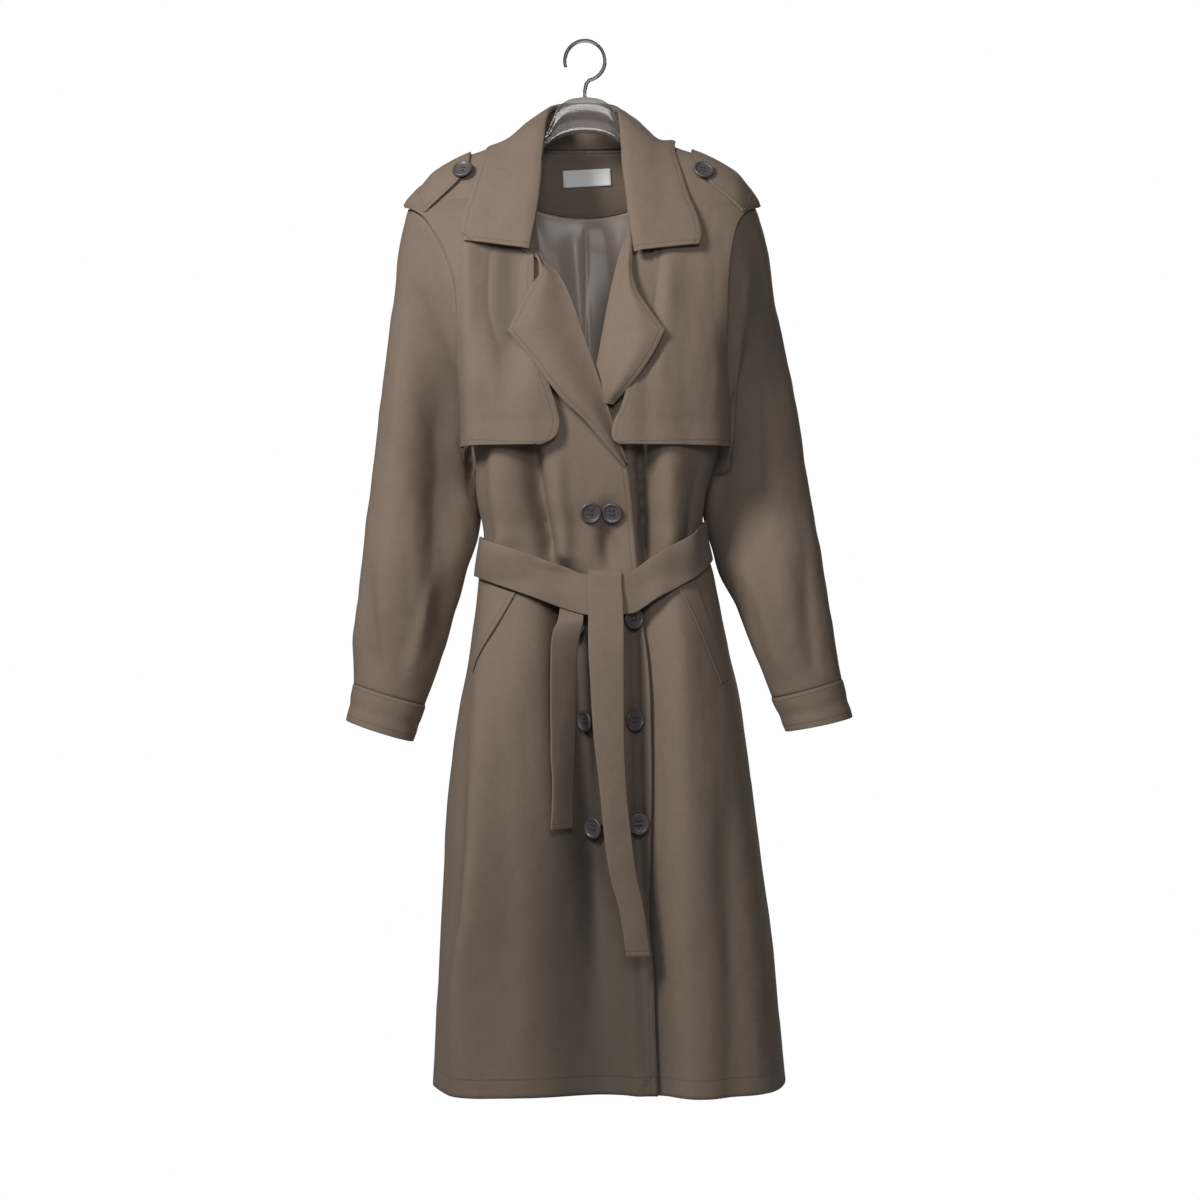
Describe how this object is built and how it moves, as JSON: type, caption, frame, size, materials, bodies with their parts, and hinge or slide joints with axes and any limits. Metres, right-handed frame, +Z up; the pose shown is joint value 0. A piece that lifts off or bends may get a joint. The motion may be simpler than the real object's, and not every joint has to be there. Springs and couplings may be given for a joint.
{
  "type": "belted trench coat on a hanger",
  "caption": "Double-breasted belted trench coat hanging open at the neck on a clear hanger, with storm flaps, epaulettes, wide lapels and a loosely tied belt.",
  "frame": {"origin": "the top of the inside of the hanger's hook, where a rail carries it", "axes": "+X towards the wearer's left, +Y towards the back, so the front faces -Y, +Z up"},
  "size_m": [0.5535, 0.2488, 1.1414],
  "materials": {
    "taupe_twill": "fine diagonal cotton twill, matt",
    "satin_lining": "satin lining, soft sheen",
    "white_label": "plain woven label, blank",
    "horn_button": "dark mottled horn",
    "clear_acrylic": "clear moulded acrylic",
    "chrome": "polished wire"
  },
  "bodies": {
    "root": {"front_right": "taupe_twill", "front_left": "taupe_twill", "back_right": "taupe_twill", "back_left": "taupe_twill", "sleeve_right": "taupe_twill", "sleeve_left": "taupe_twill", "cuff_right": "taupe_twill", "cuff_left": "taupe_twill", "collar_stand": "taupe_twill", "collar_leaf": "taupe_twill", "neck_facing": "taupe_twill", "lapel_right": "taupe_twill", "lapel_left": "taupe_twill", "storm_flap_right": "taupe_twill", "storm_flap_left": "taupe_twill", "epaulette_right": "taupe_twill", "epaulette_left": "taupe_twill", "belt_band": "taupe_twill", "belt_tail_front": "taupe_twill", "belt_tail_back": "taupe_twill", "pocket_welt_right": "taupe_twill", "pocket_welt_left": "taupe_twill", "lining_back": "satin_lining", "neck_label": "white_label", "button_1": "horn_button", "button_2": "horn_button", "button_3": "horn_button", "button_4": "horn_button", "button_5": "horn_button", "button_6": "horn_button", "button_7": "horn_button", "button_8": "horn_button", "epaulette_button_right": "horn_button", "epaulette_button_left": "horn_button", "hanger": "clear_acrylic", "hanger_hook": "chrome"}
  },
  "joints": []
}
